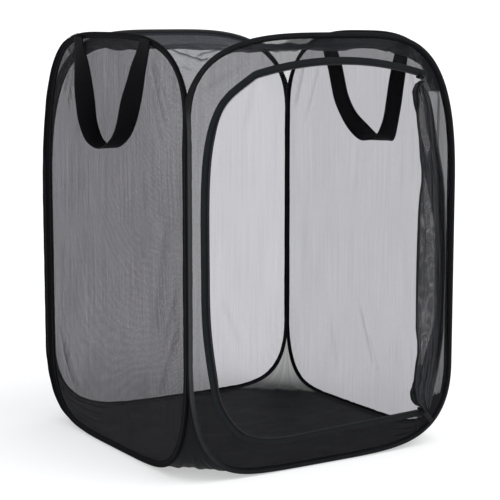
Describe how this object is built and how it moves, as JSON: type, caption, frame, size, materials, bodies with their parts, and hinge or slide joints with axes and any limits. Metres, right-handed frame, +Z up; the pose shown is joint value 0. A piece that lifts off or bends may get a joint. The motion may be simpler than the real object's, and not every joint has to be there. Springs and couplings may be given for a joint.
{
  "type": "insect cage",
  "caption": "Pop-up mesh insect cage: four sprung hoops, mesh walls and roof, fabric floor, zip door gathered open, two webbing handles; walls fold flat.",
  "frame": {"origin": "centre of the floor fabric's underside, on the surface that the cage stands on", "axes": "+Z up, -Y out of the door, +X to the right when facing the door"},
  "size_m": [0.4526, 0.4229, 0.5397],
  "materials": {
    "edge_binding": "matte woven polyester",
    "mesh_netting": "fine knitted polyester netting",
    "floor_fabric": "coated plain-weave polyester",
    "handle_webbing": "ribbed polypropylene webbing",
    "zip_tape": "matte twill tape",
    "zip_coil": "nylon coil, satin",
    "spring_steel": "bare spring wire",
    "slider_metal": "black lacquered die-cast zinc",
    "tab_metal": "grey plated zinc"
  },
  "bodies": {
    "front_wall": {"front_hoop_wire": "spring_steel", "front_hoop_ferrule": "spring_steel", "front_edge_binding": "edge_binding", "front_surround_mesh": "mesh_netting", "frame_zip_tape": "zip_tape", "frame_zip_coil": "zip_coil", "floor_panel": "floor_fabric", "floor_web_front_left": "floor_fabric", "floor_web_front_right": "floor_fabric", "floor_web_back_left": "floor_fabric", "floor_web_back_right": "floor_fabric", "roof_mesh_panel": "mesh_netting"},
    "left_wall": {"left_hoop_wire": "spring_steel", "left_hoop_ferrule": "spring_steel", "left_edge_binding": "edge_binding", "left_mesh_panel": "mesh_netting"},
    "back_wall": {"back_hoop_wire": "spring_steel", "back_hoop_ferrule": "spring_steel", "back_edge_binding": "edge_binding", "back_mesh_panel": "mesh_netting"},
    "right_wall": {"right_hoop_wire": "spring_steel", "right_hoop_ferrule": "spring_steel", "right_edge_binding": "edge_binding", "right_mesh_panel": "mesh_netting"},
    "door": {"door_mesh": "mesh_netting", "door_zip_tape": "zip_tape", "door_zip_coil": "zip_coil"},
    "upper_zip_slider": {"upper_slider": "slider_metal"},
    "lower_zip_slider": {"lower_slider": "slider_metal"},
    "upper_zip_pull": {"upper_pull_tab": "tab_metal"},
    "lower_zip_pull": {"lower_pull_tab": "tab_metal"},
    "left_carry_handle": {"left_handle": "handle_webbing"},
    "right_carry_handle": {"right_handle": "handle_webbing"}
  },
  "joints": [
    {"name": "fold", "type": "hinge", "parent": "front_wall", "child": "left_wall", "pos_m": [-0.1974, -0.1907, 0.27], "axis": [0, 0, 1], "range_deg": [-90, 90], "deforming": ["roof_mesh_panel", "floor_web_front_left", "floor_web_front_right", "floor_web_back_left", "floor_web_back_right"]},
    {"name": "back_fold", "type": "hinge", "parent": "left_wall", "child": "back_wall", "pos_m": [-0.1974, 0.1907, 0.27], "axis": [0, 0, 1], "range_deg": [-90, 90]},
    {"name": "right_fold", "type": "hinge", "parent": "front_wall", "child": "right_wall", "pos_m": [0.1974, -0.1907, 0.27], "axis": [0, 0, 1], "range_deg": [-90, 90]},
    {"name": "door_swing", "type": "hinge", "parent": "front_wall", "child": "door", "pos_m": [0.176, -0.2015, 0.26], "axis": [0, 0, 1], "range_deg": [0, 105]},
    {"name": "upper_zip_travel", "type": "hinge", "parent": "front_wall", "child": "upper_zip_slider", "pos_m": [0.012, -0.2002, 0.022], "axis": [0, -1, 0], "range_deg": [0, 29]},
    {"name": "lower_zip_travel", "type": "slide", "parent": "front_wall", "child": "lower_zip_slider", "axis": [-0.9996, 0, -0.0295], "range_m": [0, 0.2]},
    {"name": "upper_tab_lift", "type": "hinge", "parent": "upper_zip_slider", "child": "upper_zip_pull", "pos_m": [0.1395, -0.2031, 0.48476], "axis": [-0.9253, 0, -0.3791], "range_deg": [0, 150]},
    {"name": "lower_tab_lift", "type": "hinge", "parent": "lower_zip_slider", "child": "lower_zip_pull", "pos_m": [0.1501, -0.2031, 0.04951], "axis": [-0.8, 0, -0.6], "range_deg": [0, 150]},
    {"name": "left_handle_lift", "type": "hinge", "parent": "left_wall", "child": "left_carry_handle", "pos_m": [-0.2013, 0, 0.5335], "axis": [0, 1, 0], "range_deg": [0, 180]},
    {"name": "right_handle_lift", "type": "hinge", "parent": "right_wall", "child": "right_carry_handle", "pos_m": [0.2013, 0, 0.5335], "axis": [0, -1, 0], "range_deg": [0, 180]}
  ],
  "couplings": [
    {"joint": "back_fold", "follows": "fold", "ratio": -1},
    {"joint": "right_fold", "follows": "fold", "ratio": 1}
  ]
}
